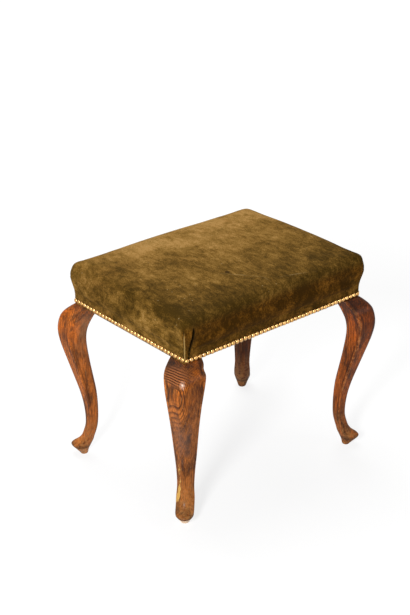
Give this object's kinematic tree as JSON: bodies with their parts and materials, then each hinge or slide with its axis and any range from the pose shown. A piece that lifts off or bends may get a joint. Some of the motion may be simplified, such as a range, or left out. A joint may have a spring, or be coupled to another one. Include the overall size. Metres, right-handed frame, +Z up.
{
  "type": "upholstered stool",
  "caption": "Oblong stool with a stuffed seat under a suede cover, close rows of domed brass nails along its lower edge, and curved oak legs with turned-out toes.",
  "frame": {"origin": "on the floor under the middle of the seat", "axes": "+X along the seat, +Y across it towards the back, +Z up"},
  "size_m": [0.5656, 0.4356, 0.481],
  "materials": {
    "stained_oak": "waxed satin",
    "beech": "sawn, bare",
    "oak_peg": "riven, bare",
    "jute_webbing": "woven",
    "hessian_cloth": "open weave",
    "hair_stuffing": "fibrous",
    "cotton_wadding": "soft",
    "suede": "napped, worn",
    "aged_brass": "polished, aged",
    "black_cloth": "plain weave",
    "blued_steel": "blued"
  },
  "bodies": {
    "root": {"leg_front_left": "stained_oak", "leg_front_right": "stained_oak", "leg_back_left": "stained_oak", "leg_back_right": "stained_oak", "rail_front": "beech", "rail_back": "beech", "rail_left": "beech", "rail_right": "beech", "tenon_pegs": "oak_peg", "corner_block_front_left": "beech", "corner_block_front_right": "beech", "corner_block_back_left": "beech", "corner_block_back_right": "beech", "webbing_lengthwise": "jute_webbing", "webbing_crosswise": "jute_webbing", "webbing_tacks": "blued_steel", "hessian": "hessian_cloth", "stuffing": "hair_stuffing", "wadding": "cotton_wadding", "cover": "suede", "nails_front": "aged_brass", "nails_back": "aged_brass", "nails_left": "aged_brass", "nails_right": "aged_brass", "bottom_cloth": "black_cloth", "cloth_tacks": "blued_steel"}
  },
  "joints": []
}
